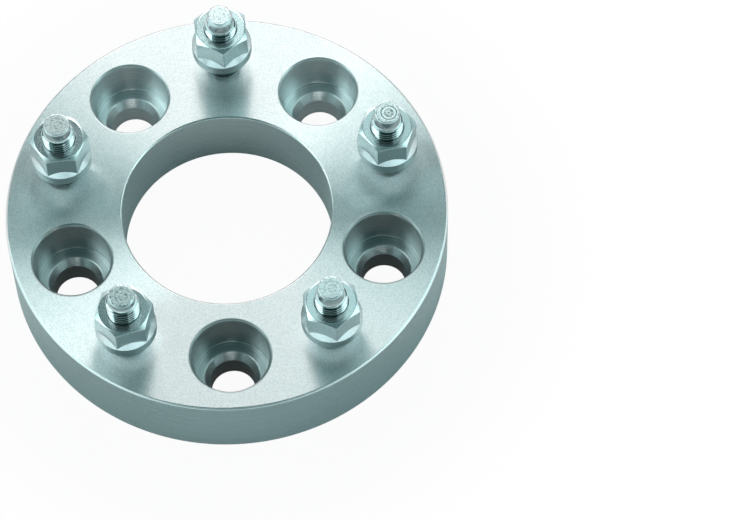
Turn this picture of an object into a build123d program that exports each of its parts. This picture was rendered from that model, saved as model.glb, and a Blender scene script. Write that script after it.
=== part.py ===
from build123d import *
import math
import os

# Spacer plate: a turned disc that stands on its hub face at height zero
PLATE_D = 164.0
PLATE_T = 31.0
PLATE_EDGE = 0.7

# Centre bore: small chamfer on the wheel side, large relief on the hub side
BORE_D = 78.1
BORE_EDGE = 0.5
BORE_RELIEF = 3.6

# Two bolt circles, the pockets turned by half a step from the studs
STUD_COUNT = 5
STEP_ANGLE = 360.0 / STUD_COUNT
HUB_CIRCLE_D = 120.65
WHEEL_CIRCLE_D = 127.0
STUD_ANGLE = 18.0
POCKET_ANGLE = STUD_ANGLE + STEP_ANGLE / 2

# Socket pocket, cone seat and through hole for a hub stud and its nut
POCKET_D = 28.5
POCKET_DEPTH = 17.5
POCKET_EDGE = 0.7
HUB_HOLE_D = 16.2
HUB_HOLE_EDGE = 1.0
SEAT_WIDTH = 2.0
SEAT_ANGLE = 60.0
SEAT_D = HUB_HOLE_D + 2 * SEAT_WIDTH
SEAT_DEPTH = SEAT_WIDTH / math.tan(math.radians(SEAT_ANGLE / 2))

# Wheel stud: flat head, pressed knurl, plain body, neck, thread and pilot end
NECK_D = 12.0
NECK_TALL = 1.8
NECK_ENTRY = 0.2
THREAD_RELIEF = 0.2
THREAD_D = NECK_D - 2 * THREAD_RELIEF
HEAD_D = 17.5
HEAD_T = 4.5
HEAD_EDGE = 0.6
HEAD_RECESS = 1.0
KNURL_OVER = 1.0
KNURL_D = NECK_D + KNURL_OVER
KNURL_TALL = 12.0
KNURL_GROOVES = 30
KNURL_GROOVE_DEPTH = 0.45
BODY_CLEARANCE = 0.4
BODY_D = KNURL_D - BODY_CLEARANCE
PILOT_D = 9.6
PILOT_TALLS = [5.3, 5.5, 4.5, 3.2, 5.3]
PILOT_ROUND = 0.8
STUD_PROUD = 33.5

# Stepped hole that takes the stud, with the head sunk below the hub face
HEAD_CLEARANCE = 1.5
PRESS_CLEARANCE = 0.0
COUNTERBORE_D = HEAD_D + HEAD_CLEARANCE
COUNTERBORE_DEPTH = HEAD_RECESS + HEAD_T
STUD_HOLE_D = KNURL_D + PRESS_CLEARANCE
STUD_HOLE_EDGE = 0.4

# Lug nut: hexagon, bulge collar and cone, open at both ends
HEX_AF = 19.0
HEX_AC = HEX_AF / math.cos(math.radians(30))
HEX_TALL = 10.8
TOP_INSET = 1.0
TOP_SLOPE = 30.0
COLLAR_OVER = 0.46
COLLAR_D = HEX_AC + COLLAR_OVER
COLLAR_TALL = 4.2
SHOULDER_SLOPE = 36.0
NUT_CLEARANCE = 0.0
NUT_BORE_D = THREAD_D + NUT_CLEARANCE
NUT_MOUTH = 0.5
CONE_RIM = 1.05
CONE_END_D = NUT_BORE_D + 2 * NUT_MOUTH + 2 * CONE_RIM
CONE_TALL = 5.3
NUT_TALL = CONE_TALL + COLLAR_TALL + HEX_TALL

# How far each nut stands above the foot of its thread, and the angle of one of its corners
NUT_LIFTS = [0.6, 2.1, 1.1, 0.15, 0.15]
NUT_TURNS = [8.8, 34.5, 4.0, 14.3, 38.0]

# How closely an edge has to match a hole's radius to be picked as its rim
RIM_MATCH = 0.001

os.makedirs("parts", exist_ok=True)


# Shape of one socket pocket: hub hole, cone seat and straight socket wall
with BuildPart() as pocket_form:
    with BuildSketch(Plane.XZ):
        with BuildLine():
            Polyline(
                (0, 0),
                (HUB_HOLE_D / 2 + HUB_HOLE_EDGE, 0),
                (HUB_HOLE_D / 2, HUB_HOLE_EDGE),
                (HUB_HOLE_D / 2, PLATE_T - POCKET_DEPTH - SEAT_DEPTH),
                (SEAT_D / 2, PLATE_T - POCKET_DEPTH),
                (POCKET_D / 2, PLATE_T - POCKET_DEPTH),
                (POCKET_D / 2, PLATE_T - POCKET_EDGE),
                (POCKET_D / 2 + POCKET_EDGE, PLATE_T),
                (0, PLATE_T),
                close=True,
            )
        make_face()
    revolve(axis=Axis.Z)

# The plate: a ring with chamfered rims, five socket pockets and five stepped stud holes
with BuildPart() as spacer_plate:
    with BuildSketch():
        Circle(PLATE_D / 2)
        Circle(BORE_D / 2, mode=Mode.SUBTRACT)
    extrude(amount=PLATE_T)
    rims = spacer_plate.edges().filter_by(GeomType.CIRCLE).group_by(SortBy.RADIUS)
    chamfer(rims[-1], PLATE_EDGE)
    bore_rims = rims[0].sort_by(Axis.Z)
    chamfer(bore_rims[0], BORE_RELIEF)
    chamfer(bore_rims[-1], BORE_EDGE)
    with PolarLocations(HUB_CIRCLE_D / 2, STUD_COUNT, start_angle=POCKET_ANGLE):
        add(pocket_form.part, mode=Mode.SUBTRACT)
    with BuildSketch():
        with PolarLocations(WHEEL_CIRCLE_D / 2, STUD_COUNT, start_angle=STUD_ANGLE):
            Circle(COUNTERBORE_D / 2)
    extrude(amount=COUNTERBORE_DEPTH, mode=Mode.SUBTRACT)
    with BuildSketch():
        with PolarLocations(WHEEL_CIRCLE_D / 2, STUD_COUNT, start_angle=STUD_ANGLE):
            Circle(STUD_HOLE_D / 2)
    extrude(amount=PLATE_T, mode=Mode.SUBTRACT)
    circles = spacer_plate.edges().filter_by(GeomType.CIRCLE)
    stud_rims = circles.filter_by(lambda edge: abs(edge.radius - STUD_HOLE_D / 2) < RIM_MATCH)
    chamfer(stud_rims.group_by(Axis.Z)[-1], STUD_HOLE_EDGE)
spacer_plate.part.label = "spacer_plate"
export_step(spacer_plate.part, "parts/spacer_plate.step")


# Heights on a stud, from the hub face up
NECK_BASE = PLATE_T - NECK_ENTRY
THREAD_BASE = PLATE_T + NECK_TALL + THREAD_RELIEF
STUD_END = PLATE_T + STUD_PROUD


def make_stud(pilot_tall):
    """One stud on its own axis, with the given length of plain pilot at its end."""
    pilot_base = STUD_END - pilot_tall
    with BuildPart() as stud:
        with BuildSketch(Plane.XZ):
            with BuildLine():
                Polyline(
                    (0, HEAD_RECESS),
                    (HEAD_D / 2, HEAD_RECESS),
                    (HEAD_D / 2, COUNTERBORE_DEPTH),
                    (BODY_D / 2, COUNTERBORE_DEPTH),
                    (BODY_D / 2, NECK_BASE - (BODY_D - NECK_D) / 2),
                    (NECK_D / 2, NECK_BASE),
                    (NECK_D / 2, PLATE_T + NECK_TALL),
                    (THREAD_D / 2, THREAD_BASE),
                    (THREAD_D / 2, pilot_base - (THREAD_D - PILOT_D) / 2),
                    (PILOT_D / 2, pilot_base),
                    (PILOT_D / 2, STUD_END),
                    (0, STUD_END),
                    close=True,
                )
            make_face()
        revolve(axis=Axis.Z)
        chamfer(stud.edges().group_by(Axis.Z)[0], HEAD_EDGE)
        fillet(stud.edges().group_by(Axis.Z)[-1], PILOT_ROUND)
        with BuildSketch(Plane.XY.offset(COUNTERBORE_DEPTH)):
            Circle(KNURL_D / 2)
            with PolarLocations(KNURL_D / 2, KNURL_GROOVES):
                RegularPolygon(radius=KNURL_GROOVE_DEPTH, side_count=3, rotation=180, mode=Mode.SUBTRACT)
        extrude(amount=KNURL_TALL)
    return stud.part


# One nut on its own axis, small end of the cone at height zero
COLLAR_TOP = CONE_TALL + COLLAR_TALL
SHOULDER_TALL = (COLLAR_D - NUT_BORE_D) / 2 / math.tan(math.radians(SHOULDER_SLOPE))
TOP_FLAT_D = HEX_AF - TOP_INSET
TOP_DROP = (COLLAR_D - TOP_FLAT_D) / 2 * math.tan(math.radians(TOP_SLOPE))

with BuildPart() as nut:
    with BuildSketch(Plane.XY.offset(CONE_TALL)):
        RegularPolygon(radius=HEX_AC / 2, side_count=6)
    extrude(amount=NUT_TALL - CONE_TALL)
    with BuildSketch(Plane.XZ):
        with BuildLine():
            Polyline(
                (0, CONE_TALL),
                (COLLAR_D / 2, CONE_TALL),
                (COLLAR_D / 2, NUT_TALL - TOP_DROP),
                (TOP_FLAT_D / 2, NUT_TALL),
                (0, NUT_TALL),
                close=True,
            )
        make_face()
    revolve(axis=Axis.Z, mode=Mode.INTERSECT)
    with BuildSketch(Plane.XZ):
        with BuildLine():
            Polyline(
                (0, 0),
                (CONE_END_D / 2, 0),
                (COLLAR_D / 2, CONE_TALL),
                (COLLAR_D / 2, COLLAR_TOP),
                (NUT_BORE_D / 2, COLLAR_TOP + SHOULDER_TALL),
                (0, COLLAR_TOP + SHOULDER_TALL),
                close=True,
            )
        make_face()
    revolve(axis=Axis.Z)
    with Locations((0, 0, NUT_TALL)):
        Hole(NUT_BORE_D / 2)
    circles = nut.edges().filter_by(GeomType.CIRCLE)
    mouths = circles.filter_by(lambda edge: abs(edge.radius - NUT_BORE_D / 2) < RIM_MATCH)
    chamfer(mouths, NUT_MOUTH)


# The five studs stand in their holes and each carries its own nut
for index in range(STUD_COUNT):
    turn = STUD_ANGLE + STEP_ANGLE * index
    across = WHEEL_CIRCLE_D / 2 * math.cos(math.radians(turn))
    along = WHEEL_CIRCLE_D / 2 * math.sin(math.radians(turn))
    stud_form = make_stud(PILOT_TALLS[index % len(PILOT_TALLS)])
    with BuildPart() as wheel_stud:
        with Locations(Location((across, along, 0), (0, 0, turn))):
            add(stud_form)
    wheel_stud.part.label = f"wheel_stud_{index + 1}"
    export_step(wheel_stud.part, f"parts/wheel_stud_{index + 1}.step")
    nut_lift = NUT_LIFTS[index % len(NUT_LIFTS)]
    nut_turn = NUT_TURNS[index % len(NUT_TURNS)]
    with BuildPart() as lug_nut:
        with Locations(Location((across, along, THREAD_BASE + nut_lift), (0, 0, nut_turn))):
            add(nut.part)
    lug_nut.part.label = f"lug_nut_{index + 1}"
    export_step(lug_nut.part, f"parts/lug_nut_{index + 1}.step")
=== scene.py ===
import logging
import math
from dataclasses import dataclass, field
from enum import Enum

import bmesh
import bpy
from mathutils import Matrix, Vector


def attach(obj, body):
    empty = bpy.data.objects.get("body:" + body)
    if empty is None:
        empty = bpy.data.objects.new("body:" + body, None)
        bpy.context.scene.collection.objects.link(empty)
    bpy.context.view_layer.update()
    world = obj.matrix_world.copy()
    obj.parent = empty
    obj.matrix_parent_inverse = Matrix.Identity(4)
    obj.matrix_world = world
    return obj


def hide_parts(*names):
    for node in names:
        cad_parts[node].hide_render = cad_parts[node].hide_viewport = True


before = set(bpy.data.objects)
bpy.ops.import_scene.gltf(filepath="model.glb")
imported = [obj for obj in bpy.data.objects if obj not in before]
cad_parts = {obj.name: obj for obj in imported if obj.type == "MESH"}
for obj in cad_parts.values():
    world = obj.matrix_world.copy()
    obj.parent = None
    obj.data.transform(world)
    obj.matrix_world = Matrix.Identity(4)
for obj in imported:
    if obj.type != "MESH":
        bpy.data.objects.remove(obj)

LOG = logging.getLogger("wheel_spacer")
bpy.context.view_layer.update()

# Sizes are written in mm, and Blender works in metres
MM = 0.001
PER_METRE = 1.0 / MM

# The studs and the pockets stand five to a bolt circle, and a nut has six flats
COUNT = 5
STEP_ANGLE = 360.0 / COUNT
FLATS = 6
FLAT_ANGLE = 360.0 / FLATS

Colour = tuple[float, float, float]
Triple = tuple[float, float, float]
Point = tuple[float, float]
Span = tuple[float, float]
Profile = list[Point]
Ring = list[bmesh.types.BMVert]


# Shader graph

class Value:
    """A number or vector output of a shader graph, used in plain arithmetic."""

    def __init__(self, graph: "Graph", socket: bpy.types.NodeSocket) -> None:
        """Wraps one output socket of a graph."""
        self.graph = graph
        self.socket = socket

    def _math(self, operation: str, *terms: "Value | float") -> "Value":
        """Adds one Math node with these inputs, in order."""
        return self.graph.value("ShaderNodeMath", {"operation": operation}, dict(enumerate(terms)))

    def __add__(self, other: "Value | float") -> "Value":
        """Sum."""
        return self._math("ADD", self, other)

    def __radd__(self, other: float) -> "Value":
        """Sum with a plain number first."""
        return self._math("ADD", other, self)

    def __sub__(self, other: "Value | float") -> "Value":
        """Difference."""
        return self._math("SUBTRACT", self, other)

    def __rsub__(self, other: float) -> "Value":
        """Difference with a plain number first."""
        return self._math("SUBTRACT", other, self)

    def __mul__(self, other: "Value | float") -> "Value":
        """Product."""
        return self._math("MULTIPLY", self, other)

    def __rmul__(self, other: float) -> "Value":
        """Product with a plain number first."""
        return self._math("MULTIPLY", other, self)

    def __neg__(self) -> "Value":
        """The same value with its sign turned."""
        return self._math("MULTIPLY", self, -1.0)

    def __abs__(self) -> "Value":
        """The same value without its sign."""
        return self._math("ABSOLUTE", self)

    def at_least(self, other: "Value | float") -> "Value":
        """The larger of two values."""
        return self._math("MAXIMUM", self, other)

    def at_most(self, other: "Value | float") -> "Value":
        """The smaller of two values."""
        return self._math("MINIMUM", self, other)

    def ease(self, start: float, end: float, base: float = 0.0) -> "Value":
        """A soft step.

        Args:
            start: the value at which the step is 0.
            end: the value at which it is 1.
            base: what both are counted from.

        Returns:
            A value from 0 to 1.
        """
        if start > end:
            return 1.0 - self.ease(end, start, base)
        settings = {"interpolation_type": "SMOOTHSTEP"}
        inputs = {"Value": self, "From Min": base + start, "From Max": base + end}
        return self.graph.value("ShaderNodeMapRange", settings, inputs)


class Graph:
    """The node tree of one material or of the world."""

    # Numbers of the Mix node's sockets for colours, several of which share a name
    MIX_SHARE, MIX_FIRST, MIX_SECOND, MIX_RESULT = 0, 6, 7, 2
    NOISE_ROUGHNESS = 0.55

    def __init__(self, tree: bpy.types.NodeTree) -> None:
        """Empties a node tree, to fill it anew."""
        self.tree = tree
        tree.nodes.clear()

    def node(self, kind: str, settings: dict | None = None,
             inputs: dict | None = None) -> bpy.types.Node:
        """Adds one node.

        Args:
            kind: the node's type.
            settings: properties of the node, set before its sockets.
            inputs: values or links by socket name or number.

        Returns:
            The node.
        """
        node = self.tree.nodes.new(kind)
        for name, setting in (settings or {}).items():
            setattr(node, name, setting)
        for name, given in (inputs or {}).items():
            if isinstance(given, Value):
                self.tree.links.new(given.socket, node.inputs[name])
            else:
                node.inputs[name].default_value = given
        return node

    def value(self, kind: str, settings: dict | None = None, inputs: dict | None = None,
              output: int | str = 0) -> Value:
        """Adds one node and wraps one of its outputs."""
        return Value(self, self.node(kind, settings, inputs).outputs[output])

    def axes(self, vector: Value) -> list[Value]:
        """Splits a vector into its three numbers."""
        split = self.node("ShaderNodeSeparateXYZ", inputs={0: vector})
        return [Value(self, split.outputs[name]) for name in "XYZ"]

    def ray(self, kind: str) -> Value:
        """Is 1 for a ray of the named kind, and 0 for any other."""
        return self.value("ShaderNodeLightPath", output=f"Is {kind} Ray")

    def vector(self, operation: str, first: Value,
               second: Value | tuple | float | None = None) -> Value:
        """Adds one Vector Math node.

        Args:
            operation: the node's operation.
            first: its first vector.
            second: its second vector, or the factor of a scaling.

        Returns:
            The node's vector, or its number where the operation gives one.
        """
        inputs = {0: first}
        if second is not None:
            inputs["Scale" if operation == "SCALE" else 1] = second
        output = "Value" if operation == "LENGTH" else "Vector"
        return self.value("ShaderNodeVectorMath", {"operation": operation}, inputs, output)

    def blend(self, share: Value | float, first: Value | Colour, second: Value | Colour) -> Value:
        """Mixes two colours, with this share of the second."""
        inputs = {self.MIX_SHARE: share, self.MIX_FIRST: self._full(first),
                  self.MIX_SECOND: self._full(second)}
        return self.value("ShaderNodeMix", {"data_type": "RGBA"}, inputs, self.MIX_RESULT)

    @staticmethod
    def _full(colour: Value | Colour) -> Value | tuple[float, ...]:
        """Gives a plain colour its fourth number."""
        return colour if isinstance(colour, Value) else (*colour, 1.0)

    def noise(self, at: Value, scale: float, detail: float, fourth: Value | None = None) -> Value:
        """Adds a noise from 0 to 1.

        Args:
            at: where it is read.
            scale: cells per unit.
            detail: how many finer layers it has.
            fourth: a further coordinate, if it has one.

        Returns:
            The noise.
        """
        settings = {"noise_dimensions": "3D" if fourth is None else "4D"}
        inputs = {"Vector": at, "Scale": scale, "Detail": detail,
                  "Roughness": self.NOISE_ROUGHNESS}
        if fourth is not None:
            inputs["W"] = fourth
        return self.value("ShaderNodeTexNoise", settings, inputs)

    def line_noise(self, along: Value, scale: float, detail: float) -> Value:
        """Adds a noise that changes along one coordinate only."""
        inputs = {"W": along, "Scale": scale, "Detail": detail}
        return self.value("ShaderNodeTexNoise", {"noise_dimensions": "1D"}, inputs)

    def round_noise(self, heading: Value, scale: float, detail: float,
                    fourth: Value | None = None) -> Value:
        """Adds a noise that changes with the direction from the axis, and with the fourth."""
        return self.noise(self.vector("SCALE", heading, scale), 1.0, detail, fourth)


# Finishes

# At this anisotropic rotation, tool marks run round the axis
ROUND_GRAIN = 0.25

# Red fades by this power of the shade, which gives dark metal a blue-green cast
RED_LOSS = 1.25


@dataclass(frozen=True)
class Place:
    """Where a shading point lies on a turned piece, in mm about the piece's own axis."""

    point: Value
    radius: Value
    height: Value
    heading: Value


def locate(graph: Graph) -> Place:
    """Reads the shading point.

    Args:
        graph: the graph of the material.

    Returns:
        The point, its radius, its height and its direction from the axis.
    """
    point = graph.vector("SCALE", graph.value("ShaderNodeTexCoord", output="Object"), PER_METRE)
    flat = graph.vector("MULTIPLY", point, (1.0, 1.0, 0.0))
    height = graph.axes(point)[2]
    return Place(point, graph.vector("LENGTH", flat), height, graph.vector("NORMALIZE", flat))


@dataclass(frozen=True)
class Finish:
    """A bare metal surface with its tone, gloss and tool marks."""

    name: str
    tone: Colour
    roughness: float
    anisotropy: float = 0.0

    def start(self) -> tuple[bpy.types.Material, Graph]:
        """Makes the empty material.

        Returns:
            The material and its graph.
        """
        material = bpy.data.materials.new(self.name)
        material.use_nodes = True
        material.diffuse_color = (*self.tone, 1.0)
        return material, Graph(material.node_tree)

    def close(self, graph: Graph, colour: Value, rough: Value, height: Value,
              depth: float) -> None:
        """Adds the shader and the output.

        Args:
            graph: the material's graph.
            colour: the base colour.
            rough: the roughness.
            height: the relief, as a share of its depth.
            depth: how deep the relief is, in mm.
        """
        bump = graph.value("ShaderNodeBump", inputs={
            "Strength": 1.0, "Distance": depth * MM, "Height": height})
        shader = graph.value("ShaderNodeBsdfPrincipled", {"distribution": "MULTI_GGX"}, {
            "Base Color": colour, "Metallic": 1.0, "Roughness": rough, "Normal": bump,
            "Anisotropic": self.anisotropy, "Anisotropic Rotation": ROUND_GRAIN})
        graph.node("ShaderNodeOutputMaterial", inputs={"Surface": shader})

    def shade(self, strength: float) -> Colour:
        """The tone with only this share of its light left, and more of its cast."""
        red, green, blue = self.tone
        return red * strength ** RED_LOSS, green * strength, blue * strength


@dataclass(frozen=True)
class TurnedAluminium(Finish):
    """Turned aluminium: rings left by the tool, short streaks along them and a sparkling grain."""

    ring_depth: float = 0.004
    rings_per_mm: float = 2.4
    ring_tone: float = 0.0
    grain_depth: float = 0.024
    grains_per_mm: float = 2.4
    streaks_round: float = 16.0
    streaks_per_mm: float = 4.0
    streak_relief: float = 0.35
    streak_gloss: float = 0.12
    clouds_per_mm: float = 0.045
    cloud_gloss: float = 0.06
    flecks_per_mm: float = 1.7
    fleck_gloss: float = 0.16
    speck_shares: Triple = (0.5, 0.2, 0.3)
    dark_specks: Span = (0.40, 0.58)
    speck_light: float = 0.80

    def tint(self, graph: Graph, place: Place, colour: Value) -> Value:
        """Changes the colour from place to place; a plain turned face keeps it."""
        return colour

    def material(self) -> bpy.types.Material:
        """Builds the material.

        Returns:
            The material.
        """
        material, graph = self.start()
        place = locate(graph)
        across = place.radius + place.height
        rings = graph.line_noise(across, self.rings_per_mm, detail=2.0)
        streaks = graph.round_noise(place.heading, self.streaks_round, detail=2.0,
                                    fourth=across * self.streaks_per_mm)
        sparkle = graph.noise(place.point, self.grains_per_mm, detail=3.0)
        clouds = graph.noise(place.point, self.clouds_per_mm, detail=2.0)
        flecks = graph.noise(place.point, self.flecks_per_mm, detail=3.0)
        height = (rings * (self.ring_depth / self.grain_depth)
                  + streaks * self.streak_relief + sparkle)
        rough = (self.roughness + (streaks - 0.5) * self.streak_gloss
                 + (clouds - 0.5) * self.cloud_gloss + (flecks - 0.5) * self.fleck_gloss)
        fine, long, wide = self.speck_shares
        speck = sparkle * fine + streaks * long + flecks * wide
        speck = (speck + (rings - speck) * self.ring_tone).ease(*self.dark_specks)
        colour = graph.blend(speck, self.shade(self.speck_light), self.tone)
        self.close(graph, self.tint(graph, place, colour), rough, height, self.grain_depth)
        return material


@dataclass(frozen=True)
class PocketAluminium(TurnedAluminium):
    """Turned aluminium of a socket pocket, with painted shade on its rim, painted light or painted
    shade on its wall and in its hole, and a seat whose level varies round the pocket.
    """

    ring_depth: float = 0.009
    rings_per_mm: float = 1.6
    ring_tone: float = 1.0
    grain_depth: float = 0.003
    fleck_gloss: float = 0.0
    wall_painted_light: float = 1.0
    hole_painted_light: float = 1.1
    seat_light: float = 0.82
    chatter_round: float = 8.0
    chatter_light: float = 0.42
    rim_painted_shade: float = 0.35
    seat_foot: Span = (9.9, 10.3)
    seat_top: Span = (13.2, 13.45)
    rim_foot: Span = (30.2, 30.35)
    rim_top: Span = (31.0, 30.9)

    def tint(self, graph: Graph, place: Place, colour: Value) -> Value:
        """Paints light and shade into the colour by zone: the rim, the wall, the seat and the
        hole.

        Args:
            graph: the material's graph.
            place: the shading point.
            colour: the colour of the metal.

        Returns:
            The colour to use.
        """
        chatter = graph.round_noise(place.heading, self.chatter_round, detail=1.0)
        above_hole = place.height.ease(*self.seat_foot)
        above_seat = place.height.ease(*self.seat_top)
        # Painted shade darkens the rim's chamfer
        rim = place.height.ease(*self.rim_foot) * place.height.ease(*self.rim_top)
        seat = self.seat_light + chatter * self.chatter_light
        # The wall and hole levels are painted light or painted shade, set per pocket; the seat's
        # level varies round the pocket with the chatter noise
        light = (self.hole_painted_light + (seat - self.hole_painted_light) * above_hole
                 + (self.wall_painted_light - seat) * above_seat)
        return graph.vector("SCALE", colour, light * (1.0 - rim * self.rim_painted_shade))


@dataclass(frozen=True)
class PlatedSteel(Finish):
    """Bright zinc plate on a pressed nut: soft dents, faint drawn lines, a few darker marks, and
    painted shade on the collar and on the top.
    """

    tone: Colour = (0.80, 0.85, 0.857)
    roughness: float = 0.30
    # Share of painted shade on the top flats, set per nut
    top_painted_shade: float = 0.0
    top_flatness: float = 0.6
    dent_depth: float = 0.009
    dents_per_mm: float = 1.3
    lines_round: float = 60.0
    lines_per_mm: float = 0.35
    line_relief: float = 0.25
    rings_per_mm: float = 5.0
    ring_relief: float = 0.2
    marks_per_mm: float = 1.7
    mark_gloss: float = 0.12
    line_gloss: float = 0.08
    top_gloss: float = 0.11
    top_facing: Span = (0.90, 0.97)
    collar_radius: Span = (10.99, 11.12)
    collar_facing: Span = (0.35, 0.15)
    collar_painted_shade: float = 0.34
    stained: Span = (0.60, 0.40)
    stain_light: float = 0.88
    wear_and_shade_light: float = 0.20

    def material(self) -> bpy.types.Material:
        """Builds the material.

        Returns:
            The material.
        """
        material, graph = self.start()
        place = locate(graph)
        dents = graph.noise(place.point, self.dents_per_mm, detail=3.0)
        lines = graph.round_noise(place.heading, self.lines_round, detail=1.0,
                                  fourth=place.height * self.lines_per_mm)
        rings = graph.line_noise(place.radius, self.rings_per_mm, detail=1.0)
        marks = graph.noise(place.point, self.marks_per_mm, detail=4.0)
        facing = graph.axes(graph.value("ShaderNodeTexCoord", output="Normal"))[2]
        on_top = facing.ease(*self.top_facing)
        on_collar = place.radius.ease(*self.collar_radius) * facing.ease(*self.collar_facing)
        height = (dents * (1.0 - on_top * self.top_flatness) + lines * self.line_relief
                  + rings * self.ring_relief)
        rough = (self.roughness + (marks - 0.5) * self.mark_gloss
                 + (lines - 0.5) * self.line_gloss - on_top * self.top_gloss)
        colour = graph.blend(marks.ease(*self.stained), self.tone, self.shade(self.stain_light))
        # Painted shade darkens the collar where it faces sideways or down, and the top by each
        # nut's own share
        painted_shade_share = on_collar * self.collar_painted_shade + on_top * self.top_painted_shade
        colour = graph.blend(painted_shade_share, colour, self.shade(self.wear_and_shade_light))
        self.close(graph, colour, rough, height, self.dent_depth)
        return material


@dataclass(frozen=True)
class TipMarks:
    """How much a stud's end shows of each kind of mark, and how dark its marks are."""

    rings: float
    scratches: float
    dots: float
    darkness: float


class TipFinish(Enum):
    """How the end of a stud is finished."""

    MOTTLED = TipMarks(rings=0.2, scratches=0.18, dots=0.2, darkness=0.35)
    SCRATCHED = TipMarks(rings=0.5, scratches=0.72, dots=0.2, darkness=0.50)
    DOTTED = TipMarks(rings=0.4, scratches=0.36, dots=1.0, darkness=0.50)
    RINGED = TipMarks(rings=1.3, scratches=0.24, dots=0.5, darkness=0.90)


@dataclass(frozen=True)
class StudSteel(Finish):
    """Rolled steel of a stud: bright thread crests, a drawn pilot and a cut end, with painted
    shade in the thread roots, on the thread's front and on the neck.

    The edges of its parts are counted from where they start or end.
    """

    tone: Colour = (0.79, 0.84, 0.845)
    roughness: float = 0.24
    tip: TipFinish = TipFinish.SCRATCHED
    thread_start: float = 33.0
    thread_end: float = 59.0
    end_height: float = 64.5
    neck_edge: Span = (0.3, 0.0)
    thread_foot: Span = (0.0, 0.2)
    thread_top: Span = (-0.2, -1.1)
    pilot_foot: Span = (-0.2, 0.0)
    end_edge: Span = (-0.25, -0.1)
    relief_depth: float = 0.008
    marks_per_mm: float = 1.9
    mark_relief: float = 0.4
    mark_gloss: float = 0.15
    lines_round: float = 10.0
    lines_per_mm: float = 6.0
    line_relief: float = 0.6
    pilot_relief: float = 0.25
    end_centre: Point = (0.6, -0.3)
    end_rings_per_mm: float = 1.7
    ring_wander: float = 0.8
    cut_stretch: Triple = (0.7, 2.3, 1.0)
    dots_per_mm: float = 0.75
    dot_size: Span = (0.34, 0.22)
    dot_dullness: float = 0.6
    core_size: Span = (0.55, 0.25)
    core_dullness: float = 0.6
    worn: Span = (0.52, 0.41)
    end_gloss: float = 0.04
    # Painted shade in the thread roots, growing from the first radius to the second
    root_radius: Span = (5.85, 5.25)
    thread_gloss: float = 0.10
    thread_painted_shade: float = 0.97
    # Painted shade on the thread's side that faces -Y
    painted_shade_middle: float = -0.12
    painted_shade_width: Span = (0.50, 0.38)
    painted_shade_facing: Span = (0.1, 0.4)
    painted_shade_strength: float = 0.80
    # Painted shade on the neck and everything below the thread
    neck_painted_shade: float = 0.85
    pilot_dullness: float = 0.24
    wear_and_shade_light: float = 0.14

    def end_marks(self, graph: Graph, place: Place, marks: Value) -> tuple[Value, Value, Value]:
        """Draws the marks of the cut end.

        Args:
            graph: the material's graph.
            place: the shading point.
            marks: the fine marks that the whole stud has.

        Returns:
            The relief of the marks, how dark they are, and the dots.
        """
        tip = self.tip.value
        from_centre = graph.vector("SUBTRACT", place.point, (*self.end_centre, self.end_height))
        swirl = graph.vector("LENGTH", from_centre)
        rings = graph.line_noise(swirl + marks * self.ring_wander, self.end_rings_per_mm,
                                 detail=1.5)
        cuts = graph.noise(graph.vector("MULTIPLY", place.point, self.cut_stretch), 1.0,
                           detail=2.0)
        spots = graph.value("ShaderNodeTexVoronoi", inputs={
            "Vector": place.point, "Scale": self.dots_per_mm})
        relief = rings * tip.rings + cuts * tip.scratches + marks * self.mark_relief
        level = 1.0 / (tip.rings + tip.scratches + self.mark_relief)
        worn = (relief * level).ease(*self.worn)
        core = swirl.ease(*self.core_size) * (tip.rings * self.core_dullness)
        return relief, worn * tip.darkness + core, spots.ease(*self.dot_size) * tip.dots

    def material(self) -> bpy.types.Material:
        """Builds the material.

        Returns:
            The material.
        """
        material, graph = self.start()
        place = locate(graph)
        height, start, finish = place.height, self.thread_start, self.thread_end
        on_neck = height.ease(*self.neck_edge, base=start)
        on_thread = (height.ease(*self.thread_foot, base=start)
                     * height.ease(*self.thread_top, base=finish))
        on_end = height.ease(*self.end_edge, base=self.end_height)
        on_pilot = height.ease(*self.pilot_foot, base=finish) * (1.0 - on_end)
        marks = graph.noise(place.point, self.marks_per_mm, detail=4.0)
        lines = graph.round_noise(place.heading, self.lines_round, detail=2.0,
                                  fourth=height * self.lines_per_mm)
        relief, dark, dots = self.end_marks(graph, place, marks)
        dots = dots * on_end
        side, depth, _ = graph.axes(place.heading)
        # Painted shade: a dark painted reflection on the side of the thread that faces -Y, centred
        # a little towards -X
        painted_front_shade = (abs(side - self.painted_shade_middle).ease(*self.painted_shade_width)
                 * (-depth).ease(*self.painted_shade_facing))
        # Painted shade in the thread roots, half as strong away from the front
        root = place.radius.ease(*self.root_radius) * (0.5 + 0.5 * painted_front_shade)
        drawn = marks * self.mark_relief + lines * self.line_relief
        relief = drawn * on_pilot * self.pilot_relief + on_end * relief - dots
        rough = (self.roughness + (marks - 0.5) * self.mark_gloss
                 + on_end * self.end_gloss - on_thread * self.thread_gloss)
        # The cut end's marks, the dots and the pilot's darker tone belong to the steel; the thread
        # roots, the thread's front and the neck get painted shade
        wear_and_painted_shade = (on_end * dark + on_pilot * self.pilot_dullness
                + on_thread * (root + painted_front_shade * self.painted_shade_strength) * self.thread_painted_shade
                + dots * self.dot_dullness + on_neck * self.neck_painted_shade).at_most(1.0)
        colour = graph.blend(wear_and_painted_shade, self.tone, self.shade(self.wear_and_shade_light))
        self.close(graph, colour, rough, relief, self.relief_depth)
        return material


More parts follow.
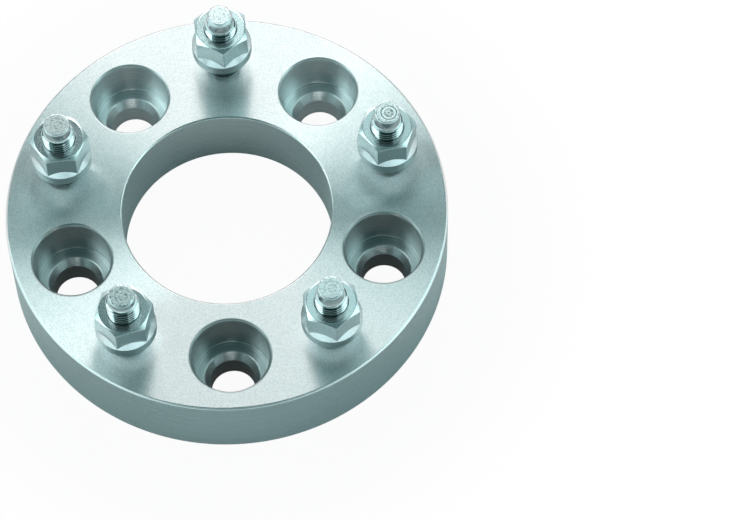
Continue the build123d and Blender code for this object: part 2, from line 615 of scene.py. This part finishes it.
WALL_TONE = (0.81, 0.845, 0.848)
FACE_ALUMINIUM = TurnedAluminium(
    "turned_aluminium_face", (0.83, 0.853, 0.855), roughness=0.38, anisotropy=0.95)
RIM_ALUMINIUM = TurnedAluminium(
    "turned_aluminium_rim", WALL_TONE, roughness=0.29, anisotropy=0.8,
    ring_depth=0.006, ring_tone=0.75, grain_depth=0.003, fleck_gloss=0.02)
EDGE_ALUMINIUM = TurnedAluminium(
    "turned_aluminium_edge", (0.98, 0.93, 0.925), roughness=0.15, anisotropy=0.5,
    ring_depth=0.002, ring_tone=1.0, grain_depth=0.002, fleck_gloss=0.0)
# Pockets with painted light in the hole, and pockets with painted shade on the wall and in the
# hole
POCKET_PAINTED_LIGHT = PocketAluminium(
    "turned_aluminium_pocket_painted_light", WALL_TONE, roughness=0.32, anisotropy=0.85)
POCKET_PAINTED_SHADE = PocketAluminium(
    "turned_aluminium_pocket_painted_shade", WALL_TONE, roughness=0.30, anisotropy=0.85,
    wall_painted_light=0.74, hole_painted_light=0.30)


# Mesh building

# In mm: a narrower ring is a point, and vertices nearer to each other are welded
NO_WIDTH = 1e-6
WELD = 1e-4

# How much a face's normal leans on the axis where the face is flat, and where it still slopes
FLAT = 0.99
SLOPING = 0.5


def eased(profile: Profile, radius: float) -> Profile:
    """Rounds the inner corners of a profile and holds the faces beside them flat.

    Args:
        profile: points of radius and height in mm.
        radius: how far from each corner the rounding starts, in mm.

    Returns:
        The profile with its corners rounded.
    """
    # A rounding takes at most one part in `room` of a run; the flat starts `hold` times as far
    room, hold, steps = 3.2, 1.5, 3
    out = [profile[0]]
    for before, corner, after in zip(profile, profile[1:], profile[2:]):
        here = Vector(corner)
        back, ahead = Vector(before) - here, Vector(after) - here
        cut = min(radius, back.length / room, ahead.length / room)
        start, end = here + back.normalized() * cut, here + ahead.normalized() * cut
        out.append(tuple(here + back.normalized() * cut * hold))
        for step in range(steps + 1):
            share = step / steps
            low, high = start.lerp(here, share), here.lerp(end, share)
            out.append(tuple(low.lerp(high, share)))
        out.append(tuple(here + ahead.normalized() * cut * hold))
    return [*out, profile[-1]]


def around(radius: float, degrees: float, centre: Point = (0.0, 0.0)) -> Point:
    """The point at this distance from a centre, in a direction anticlockwise from +X."""
    turn = math.radians(degrees)
    return centre[0] + radius * math.cos(turn), centre[1] + radius * math.sin(turn)


def bolt_circle(radius: float, start: float) -> list[Point]:
    """The evenly spaced points of a bolt circle, from this direction on."""
    return [around(radius, start + STEP_ANGLE * index) for index in range(COUNT)]


@dataclass
class Form:
    """A mesh that is being made, in mm, about an upright axis of its own."""

    name: str
    at: Point = (0.0, 0.0)
    mesh: bmesh.types.BMesh = field(default_factory=bmesh.new)

    def ring(self, radius: float, height: float, steps: int, centre: Point = (0.0, 0.0)) -> Ring:
        """Adds a ring of vertices.

        Args:
            radius: its radius.
            height: its height.
            steps: how many vertices it has.
            centre: its centre, from the form's own axis.

        Returns:
            The vertices; a ring of no radius is one vertex.
        """
        if radius < NO_WIDTH:
            return [self.mesh.verts.new((*centre, height))]
        points = (around(radius, 360.0 * step / steps, centre) for step in range(steps))
        return [self.mesh.verts.new((*point, height)) for point in points]

    def band(self, first: Ring, second: Ring) -> None:
        """Adds the faces between two rings.

        Args:
            first: the ring that the profile comes from.
            second: the ring that it goes to.
        """
        count = max(len(first), len(second))
        for step in range(count):
            ahead = (step + 1) % count
            if len(first) == 1:
                corners = [first[0], second[step], second[ahead]]
            elif len(second) == 1:
                corners = [first[step], second[0], first[ahead]]
            else:
                corners = [first[step], second[step], second[ahead], first[ahead]]
            self.mesh.faces.new(corners)

    def spin(self, profile: Profile, steps: int, centre: Point = (0.0, 0.0)) -> list[Ring]:
        """Spins a profile about an upright axis.

        Args:
            profile: points of radius and height.
            steps: faces round the axis.
            centre: where the axis stands, from the form's own.

        Returns:
            The rings of vertices.
        """
        rings = [self.ring(radius, height, steps, centre) for radius, height in profile]
        for first, second in zip(rings, rings[1:]):
            self.band(first, second)
        return rings

    def fill(self, rings: list[Ring]) -> None:
        """Fills the flat face that lies inside the first ring and outside the others.

        Args:
            rings: closed rings of vertices in one plane.
        """
        edges = []
        for ring in rings:
            for pair in zip(ring, ring[1:] + ring[:1]):
                edges.append(self.mesh.edges.get(pair) or self.mesh.edges.new(pair))
        bmesh.ops.triangle_fill(self.mesh, use_beauty=True, edges=edges)

    def finish(self, material: bpy.types.Material, walls: bpy.types.Material | None = None,
               edges: bpy.types.Material | None = None, bevel: float = 0.0,
               angle: float = 30.0) -> bpy.types.Object:
        """Turns the mesh into an object of the scene.

        Args:
            material: its finish.
            walls: the finish of its upright faces, if they have their own.
            edges: the finish of its sloping faces, if they have their own.
            bevel: width of the rounding of its sharp edges, in mm, or none.
            angle: edges sharper than this are rounded or stay crisp, in degrees.

        Returns:
            The object.
        """
        bmesh.ops.remove_doubles(self.mesh, verts=self.mesh.verts, dist=WELD)
        bmesh.ops.recalc_face_normals(self.mesh, faces=self.mesh.faces)
        if walls is not None:
            for face in self.mesh.faces:
                lean = abs(face.normal.z)
                face.material_index = int(lean < FLAT) + int(SLOPING < lean < FLAT)
        bmesh.ops.scale(self.mesh, vec=(MM, MM, MM), verts=self.mesh.verts)
        data = bpy.data.meshes.new(self.name)
        self.mesh.to_mesh(data)
        self.mesh.free()
        data.shade_smooth()
        for finish in filter(None, (material, walls, edges)):
            data.materials.append(finish)
        piece = bpy.data.objects.new(self.name, data)
        piece.location = (self.at[0] * MM, self.at[1] * MM, 0.0)
        bpy.context.scene.collection.objects.link(piece)
        if bevel:
            softening = piece.modifiers.new("softened_edges", "BEVEL")
            softening.width, softening.segments = bevel * MM, 2
            softening.limit_method, softening.angle_limit = "ANGLE", math.radians(angle)
            softening.harden_normals = True
        else:
            data.set_sharp_from_angle(angle=math.radians(angle))
        return piece


# The spacer

@dataclass
class Plate:
    """The turned disc with its bore, five socket pockets and five stepped stud holes."""

    outer_radius: float = 82.0
    thickness: float = 31.0
    outer_edge: float = 0.7
    bore_radius: float = 39.05
    bore_edge: float = 0.5
    bore_relief: float = 3.6
    face_land: float = 0.6
    rim_ease: float = 0.12
    rim_steps: int = 256
    stud_places: list[Point] = field(default_factory=lambda: bolt_circle(63.5, start=18.0))
    stud_hole_radius: float = 6.5
    stud_hole_edge: float = 0.4
    counterbore_radius: float = 9.5
    counterbore_depth: float = 5.5
    stud_hole_lands: Span = (0.3, 0.4)
    stud_hole_ease: float = 0.08
    hole_steps: int = 64
    pocket_places: list[Point] = field(default_factory=lambda: bolt_circle(60.325, start=54.0))
    pocket_radius: float = 14.25
    pocket_edge: float = 0.7
    pocket_floor: float = 13.5
    seat_radius: float = 10.1
    seat_foot: float = 10.036
    hub_hole_radius: float = 8.1
    hub_hole_edge: float = 1.0
    pocket_lands: Span = (0.35, 0.4)
    pocket_ease: float = 0.3
    pocket_steps: int = 96
    crisp_angle: float = 60.0
    # Pockets with painted light in the hole; the others get painted shade on the wall and in the
    # hole
    painted_light_pockets: tuple[int, ...] = (0, 1)

    def walls(self) -> tuple[Profile, Profile]:
        """Outlines of the plate's outer wall and of its bore, from the hub face up.

        Returns:
            Points of radius and height, of the outer wall first.
        """
        top, land, wide, edge = self.thickness, self.face_land, self.outer_radius, self.outer_edge
        bore, step, relief = self.bore_radius, self.bore_edge, self.bore_relief
        outside = [(wide - edge - land, 0.0), (wide - edge, 0.0), (wide, edge),
                   (wide, top - edge), (wide - edge, top), (wide - edge - land, top)]
        inside = [(bore + relief + land, 0.0), (bore + relief, 0.0), (bore, relief),
                  (bore, top - step), (bore + step, top), (bore + step + land, top)]
        return outside, inside

    def stud_hole(self) -> Profile:
        """Outline of a stepped stud hole, from the wheel face down.

        Returns:
            Points of radius and height.
        """
        top, narrow, edge = self.thickness, self.stud_hole_radius, self.stud_hole_edge
        wide, depth = self.counterbore_radius, self.counterbore_depth
        above, below = self.stud_hole_lands
        return [(narrow + edge + above, top), (narrow + edge, top), (narrow, top - edge),
                (narrow, depth), (wide, depth), (wide, 0.0), (wide + below, 0.0)]

    def pocket_form(self) -> Profile:
        """Outline of a socket pocket, from its rim down to its mouth in the hub face.

        Returns:
            Points of radius and height.
        """
        top, wide, edge = self.thickness, self.pocket_radius, self.pocket_edge
        narrow, mouth = self.hub_hole_radius, self.hub_hole_edge
        above, below = self.pocket_lands
        return [(wide + edge + above, top), (wide + edge, top), (wide, top - edge),
                (wide, self.pocket_floor), (self.seat_radius, self.pocket_floor),
                (narrow, self.seat_foot), (narrow, mouth), (narrow + mouth, 0.0),
                (narrow + mouth + below, 0.0)]

    def disc(self) -> bpy.types.Object:
        """Builds the disc without its pockets.

        Returns:
            The piece.
        """
        form = Form("plate_disc")
        outside, inside = (form.spin(eased(wall, self.rim_ease), self.rim_steps)
                           for wall in self.walls())
        hole = eased(self.stud_hole(), self.stud_hole_ease)
        holes = [form.spin(hole, self.hole_steps, place) for place in self.stud_places]
        (rim, _), *_, (mouth, _) = self.pocket_form()
        rims = [form.ring(rim, self.thickness, self.pocket_steps, place)
                for place in self.pocket_places]
        mouths = [form.ring(mouth, 0.0, self.hole_steps, place) for place in self.pocket_places]
        form.fill([outside[-1], inside[-1], *(rings[0] for rings in holes), *rims])
        form.fill([outside[0], inside[0], *(rings[-1] for rings in holes), *mouths])
        return form.finish(FACE_ALUMINIUM.material(), walls=RIM_ALUMINIUM.material(),
                           edges=EDGE_ALUMINIUM.material(), angle=self.crisp_angle)

    def pocket(self, index: int, material: bpy.types.Material) -> bpy.types.Object:
        """Builds the wall, floor, cone seat and hole of one socket pocket.

        Args:
            index: which pocket, from 0.
            material: its finish.

        Returns:
            The piece.
        """
        form = Form(f"plate_pocket_{index + 1}", self.pocket_places[index])
        form.spin(eased(self.pocket_form(), self.pocket_ease), self.pocket_steps)
        return form.finish(material, angle=self.crisp_angle)

    def build(self) -> list[bpy.types.Object]:
        """Builds and places every piece of the plate.

        Returns:
            The pieces.
        """
        # Pocket materials with painted light and with painted shade
        bright, dark = POCKET_PAINTED_LIGHT.material(), POCKET_PAINTED_SHADE.material()
        pieces = [self.disc()]
        for index in range(COUNT):
            pieces.append(self.pocket(index, bright if index in self.painted_light_pockets else dark))
        for piece in pieces:
            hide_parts("spacer_plate")
        return pieces


@dataclass(frozen=True)
class Stand:
    """What one stud and its nut have of their own."""

    pilot: float
    tip: TipFinish
    end_bevel: Point
    nut_base: float
    nut_turn: float
    # How much painted shade darkens the nut's top
    top_painted_shade: float


@dataclass
class WheelStud:
    """One pressed stud: sunk head, knurled body, neck, rolled thread, plain pilot and cut end."""

    index: int
    at: Point
    stand: Stand
    head_base: float = 1.0
    head_top: float = 5.5
    head_radius: float = 8.75
    head_edge: float = 0.6
    knurl_radius: float = 6.5
    knurl_top: float = 17.5
    body_radius: float = 6.3
    body_top: float = 30.5
    neck_radius: float = 6.0
    neck_base: float = 30.8
    neck_top: float = 32.8
    foot_radius: float = 5.03
    thread_start: float = 33.0
    pitch: float = 1.5
    crest: float = 5.95
    root: float = 5.05
    crest_share: float = 0.14
    flank_share: float = 0.60
    flank_softness: float = 0.35
    run_out: float = 2.2
    pilot_radius: float = 4.8
    end: float = 64.5
    below_ease: float = 0.08
    above_ease: float = 0.12
    crisp_angle: float = 70.0
    steps: int = 72
    rows_per_turn: int = 12

    @property
    def thread_end(self) -> float:
        """Height at which the lead-in cone above the thread has come down to the pilot."""
        return self.end - self.stand.pilot

    def thread_radius(self, height: float, turn: float) -> float:
        """Radius of the thread at one point.

        Args:
            height: height in mm.
            turn: direction, in turns.

        Returns:
            The radius in mm.
        """
        phase = abs(((height / self.pitch - turn) % 1.0) - 0.5) * 2.0
        share = min(1.0, max(0.0, (phase - self.crest_share) / self.flank_share))
        soft = share * share * (3.0 - 2.0 * share)
        share = soft * self.flank_softness + share * (1.0 - self.flank_softness)
        thread = self.crest - (self.crest - self.root) * share
        lead_in = self.pilot_radius + max(0.0, self.thread_end - height)
        run_out = self.foot_radius + max(0.0, height - self.thread_start) * self.run_out
        return min(thread, lead_in, run_out)

    def thread(self, form: Form) -> tuple[Ring, Ring]:
        """Adds the helical thread.

        Args:
            form: the stud's mesh.

        Returns:
            Its lowest and its highest ring.
        """
        # Spare turns let every column reach both ends, where its last rows fall together
        low, high, spare_turns = self.thread_start, self.thread_end, 3
        rows = (int((high - low) / self.pitch) + spare_turns) * self.rows_per_turn
        columns = []
        for step in range(self.steps):
            turn = step / self.steps
            column = []
            for row in range(rows + 1):
                height = low + self.pitch * (row / self.rows_per_turn - 1.0 + turn)
                height = min(high, max(low, height))
                point = around(self.thread_radius(height, turn), 360.0 * turn)
                column.append(form.mesh.verts.new((*point, height)))
            columns.append(column)
        for step, here in enumerate(columns):
            ahead = columns[(step + 1) % self.steps]
            shift = self.rows_per_turn if step == self.steps - 1 else 0
            for row in range(rows):
                lower, upper = min(row + shift, rows), min(row + 1 + shift, rows)
                corners = dict.fromkeys((here[row], ahead[lower], ahead[upper], here[row + 1]))
                form.mesh.faces.new(tuple(corners))
        return [column[0] for column in columns], [column[-1] for column in columns]

    def outlines(self) -> tuple[Profile, Profile]:
        """Outlines of the stud below its thread and above it.

        Returns:
            Points of radius and height, from the head up and from the pilot up.
        """
        head, base, end, pilot = self.head_radius, self.head_base, self.end, self.pilot_radius
        inset, drop = self.stand.end_bevel
        below = [
            (0.0, base), (head - self.head_edge, base), (head, base + self.head_edge),
            (head, self.head_top), (self.knurl_radius, self.head_top),
            (self.knurl_radius, self.knurl_top), (self.body_radius, self.knurl_top),
            (self.body_radius, self.body_top), (self.neck_radius, self.neck_base),
            (self.neck_radius, self.neck_top), (self.foot_radius, self.thread_start)]
        above = [(pilot, self.thread_end), (pilot, end - drop), (pilot - inset, end), (0.0, end)]
        return below, above

    def build(self) -> bpy.types.Object:
        """Builds the stud.

        Returns:
            The piece.
        """
        form = Form(f"threaded_stud_{self.index + 1}", self.at)
        below, above = self.outlines()
        below_rings = form.spin(eased(below, self.below_ease), self.steps)
        lowest, highest = self.thread(form)
        form.band(below_rings[-1], lowest)
        above_rings = form.spin(eased(above, self.above_ease), self.steps)
        form.band(highest, above_rings[0])
        steel = StudSteel(f"stud_steel_{self.index + 1}", tip=self.stand.tip,
                          thread_start=self.thread_start, thread_end=self.thread_end,
                          end_height=self.end)
        piece = form.finish(steel.material(), angle=self.crisp_angle)
        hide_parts(f"wheel_stud_{self.index + 1}")
        return piece


@dataclass
class LugNut:
    """One bulge lug nut: hexagon with a chamfered top, scalloped shoulder, collar and cone."""

    index: int
    at: Point
    stand: Stand
    half_flats: float = 9.5
    collar_radius: float = 11.2
    collar_top: float = 9.5
    cone_end: float = 7.35
    cone_tall: float = 5.3
    tall: float = 20.3
    top_radius: float = 9.0
    top_slope: float = 30.0
    shoulder_slope: float = 36.0
    mouth: float = 6.3
    bore: float = 6.02
    softening: float = 0.3
    crisp_angle: float = 24.0
    half_side: tuple[float, ...] = (0.0, 2.2, 5.0, 9.0, 14.0, 19.5, 25.0)

    def directions(self) -> list[float]:
        """Directions at which the hexagon is sampled, closest together at its corners.

        Returns:
            Angles in degrees from one corner, over the whole turn.
        """
        other_half = (FLAT_ANGLE - angle for angle in reversed(self.half_side[1:]))
        side = [*self.half_side, FLAT_ANGLE / 2.0, *other_half]
        return [FLAT_ANGLE * flat + angle for flat in range(FLATS) for angle in side]

    def outline(self, degrees: float) -> Profile:
        """The outline of the nut in one direction.

        Args:
            degrees: direction from a corner.

        Returns:
            Points of radius and height, from the cone's end up to the bore at the top.
        """
        flat = self.half_flats / math.cos(math.radians(degrees % FLAT_ANGLE - FLAT_ANGLE / 2.0))
        rise = (self.collar_radius - flat) / math.tan(math.radians(self.shoulder_slope))
        drop = max(0.0, flat - self.top_radius) * math.tan(math.radians(self.top_slope))
        lip = self.mouth - self.bore
        return [
            (self.bore, lip), (self.mouth, 0.0), (self.cone_end, 0.0),
            (self.collar_radius, self.cone_tall), (self.collar_radius, self.collar_top),
            (flat, self.collar_top + rise), (flat, self.tall - drop),
            (self.top_radius, self.tall), (self.mouth, self.tall), (self.bore, self.tall - lip)]

    def build(self) -> bpy.types.Object:
        """Builds the nut.

        Returns:
            The piece.
        """
        form = Form(f"bulge_nut_{self.index + 1}", self.at)
        columns = []
        for degrees in self.directions():
            turn = degrees + self.stand.nut_turn
            columns.append([
                form.mesh.verts.new((*around(radius, turn), self.stand.nut_base + height))
                for radius, height in self.outline(degrees)])
        for here, ahead in zip(columns, columns[1:] + columns[:1]):
            for row in range(len(here)):
                above = (row + 1) % len(here)
                form.mesh.faces.new([here[row], ahead[row], ahead[above], here[above]])
        plating = PlatedSteel(f"bright_plate_nut_{self.index + 1}",
                              top_painted_shade=self.stand.top_painted_shade)
        piece = form.finish(plating.material(), bevel=self.softening, angle=self.crisp_angle)
        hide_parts(f"lug_nut_{self.index + 1}")
        return piece


@dataclass
class Fasteners:
    """The five studs and their nuts, each at its own height and turn."""

    places: list[Point]
    # Each nut's top gets its own share of painted shade
    stands: tuple[Stand, ...] = (
        Stand(pilot=5.3, tip=TipFinish.RINGED, end_bevel=(0.40, 0.45),
              nut_base=33.6, nut_turn=8.8, top_painted_shade=0.38),
        Stand(pilot=5.5, tip=TipFinish.MOTTLED, end_bevel=(0.80, 0.96),
              nut_base=35.1, nut_turn=34.5, top_painted_shade=0.0),
        Stand(pilot=4.5, tip=TipFinish.SCRATCHED, end_bevel=(0.30, 0.35),
              nut_base=34.1, nut_turn=4.0, top_painted_shade=0.10),
        Stand(pilot=3.2, tip=TipFinish.DOTTED, end_bevel=(0.55, 0.55),
              nut_base=33.15, nut_turn=14.3, top_painted_shade=0.30),
        Stand(pilot=5.3, tip=TipFinish.SCRATCHED, end_bevel=(0.40, 0.40),
              nut_base=33.15, nut_turn=38.0, top_painted_shade=0.25),
    )

    def build(self) -> list[bpy.types.Object]:
        """Builds and places every stud and nut.

        Returns:
            The pieces.
        """
        pieces = []
        for index, (at, stand) in enumerate(zip(self.places, self.stands)):
            pieces.append(WheelStud(index, at, stand).build())
            pieces.append(LugNut(index, at, stand).build())
        return pieces


# The studio: lamps and camera in metres, the floor in mm

@dataclass
class Panel:
    """A soft rectangular lamp that faces the spacer."""

    name: str
    place: Triple
    size: Point
    radiance: float
    colour: Colour
    aim: Triple = (0.0, 0.0, 0.03)

    def build(self) -> None:
        """Adds the lamp."""
        lamp = bpy.data.lights.new(self.name, "AREA")
        lamp.shape = "RECTANGLE"
        lamp.size, lamp.size_y = self.size
        lamp.energy = self.radiance * math.pi * self.size[0] * self.size[1]
        lamp.color = self.colour
        piece = bpy.data.objects.new(self.name, lamp)
        piece.location = self.place
        away = Vector(self.place) - Vector(self.aim)
        piece.rotation_euler = away.to_track_quat("Z", "Y").to_euler()
        bpy.context.scene.collection.objects.link(piece)


@dataclass
class Studio:
    """The camera, the pale floor, the soft lamps and the plain surroundings."""

    eye: Triple = (0.037088, -0.638586, 1.216857)
    right: Triple = (0.999151, -0.040634, -0.006825)
    up: Triple = (0.039211, 0.886832, 0.460425)
    back: Triple = (-0.012656, -0.460302, 0.887672)
    lens: float = 174.2895
    sensor: float = 36.0
    clip: Span = (0.05, 50.0)
    floor_rings: tuple[float, ...] = (0.0, 300.0, 6000.0)
    floor_steps: int = 64
    floor_tone: float = 0.56
    floor_white: float = 0.955
    clear_floor: Span = (98.0, 150.0)
    mirrored_floor: Span = (120.0, 500.0)
    # A disc under the bore and a ring under the pockets and stud holes glow white in mirrored rays
    # only: painted light
    under_bore: Span = (36.0, 18.0)
    bore_painted_glow: float = 0.1
    under_holes_in: Span = (42.0, 50.0)
    under_holes_out: Span = (80.0, 72.0)
    hole_painted_glow: float = 0.07
    horizon: Span = (0.44, 0.32)
    side_light: float = 0.84
    front_light: float = 0.75
    dim_air: Colour = (0.062, 0.135, 0.14)
    pale_air: Colour = (0.95, 1.30, 1.33)
    panels: tuple[Panel, ...] = (
        Panel("back_panel", (0.0, 1.12, 0.70), size=(1.05, 0.95), radiance=3.7,
              colour=(1.0, 0.94, 0.93)),
        Panel("left_panel", (-0.80, 0.06, 0.92), size=(0.80, 0.80), radiance=2.15,
              colour=(0.80, 1.0, 1.0)),
        Panel("right_panel", (0.88, 0.0, 0.88), size=(0.70, 0.80), radiance=1.8,
              colour=(0.72, 1.0, 1.0)),
        Panel("top_panel", (0.04, 0.45, 1.02), size=(0.20, 0.66), radiance=1.05,
              colour=(0.74, 1.0, 1.0)),
    )

    def camera(self) -> None:
        """Adds the camera that frames the spacer as the photograph does."""
        data = bpy.data.cameras.new("camera")
        data.lens, data.sensor_width = self.lens, self.sensor
        data.clip_start, data.clip_end = self.clip
        camera = bpy.data.objects.new("camera", data)
        axes = Matrix((self.right, self.up, self.back)).transposed()
        camera.matrix_world = Matrix.Translation(self.eye) @ axes.to_4x4()
        bpy.context.scene.collection.objects.link(camera)
        bpy.context.scene.camera = camera

    def floor(self) -> None:
        """Adds the pale floor, which metal mirrors as white far from the spacer, and which glows
        white in mirrored rays under the bore and under the pockets and stud holes, as painted
        light.
        """
        material = bpy.data.materials.new("pale_floor")
        material.use_nodes = True
        graph = Graph(material.node_tree)
        radius = locate(graph).radius
        mirrored = graph.ray("Glossy").at_least(graph.ray("Transmission"))
        # Painted light: a disc under the bore and a ring under the pockets and stud holes glow
        # white in mirrored rays, for the walls above them to reflect
        bore = radius.ease(*self.under_bore) * self.bore_painted_glow
        holes = (radius.ease(*self.under_holes_in) * radius.ease(*self.under_holes_out)
                 * self.hole_painted_glow)
        clear = self.floor_white + (1.0 - self.floor_white) * radius.ease(*self.clear_floor)
        white_share = (graph.ray("Camera") * clear
                       + mirrored * (radius.ease(*self.mirrored_floor) + bore + holes))
        grey = (self.floor_tone, self.floor_tone, self.floor_tone, 1.0)
        paint = graph.value("ShaderNodeBsdfDiffuse", inputs={"Color": grey})
        white = graph.value("ShaderNodeEmission")
        shader = graph.value("ShaderNodeMixShader", inputs={0: white_share, 1: paint, 2: white})
        graph.node("ShaderNodeOutputMaterial", inputs={"Surface": shader})
        form = Form("studio_floor")
        form.spin([(ring, 0.0) for ring in self.floor_rings], self.floor_steps)
        floor = form.finish(material)

    def surroundings(self) -> None:
        """Adds the plain light of the room, weaker from above and from behind."""
        scene = bpy.context.scene
        scene.world = scene.world or bpy.data.worlds.new("studio")
        scene.world.use_nodes = True
        graph = Graph(scene.world.node_tree)
        direction = graph.value("ShaderNodeTexCoord", output="Generated")
        side, depth, level = graph.axes(direction)
        pale = level.ease(*self.horizon) * (abs(side) * self.side_light
                                            + (-depth).at_least(0.0) * self.front_light)
        air = graph.blend(pale, self.dim_air, self.pale_air)
        colour = graph.blend(graph.ray("Camera"), air, (1.0, 1.0, 1.0))
        light = graph.value("ShaderNodeBackground", inputs={"Color": colour})
        graph.node("ShaderNodeOutputWorld", inputs={"Surface": light})

    def build(self) -> None:
        """Sets up the whole studio."""
        self.camera()
        self.floor()
        self.surroundings()
        for panel in self.panels:
            panel.build()
        bpy.context.scene.view_settings.view_transform = "Standard"


def main() -> None:
    """Builds the studio and the spacer."""
    logging.basicConfig(level=logging.INFO, format="%(name)s: %(message)s")
    Studio().build()
    plate = Plate()
    pieces = [*plate.build(), *Fasteners(plate.stud_places).build()]
    for piece in pieces:
        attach(piece, "root")
        LOG.info("%s has %d faces", piece.name, len(piece.data.polygons))
    bpy.context.view_layer.update()


if __name__ == "__main__":
    main()
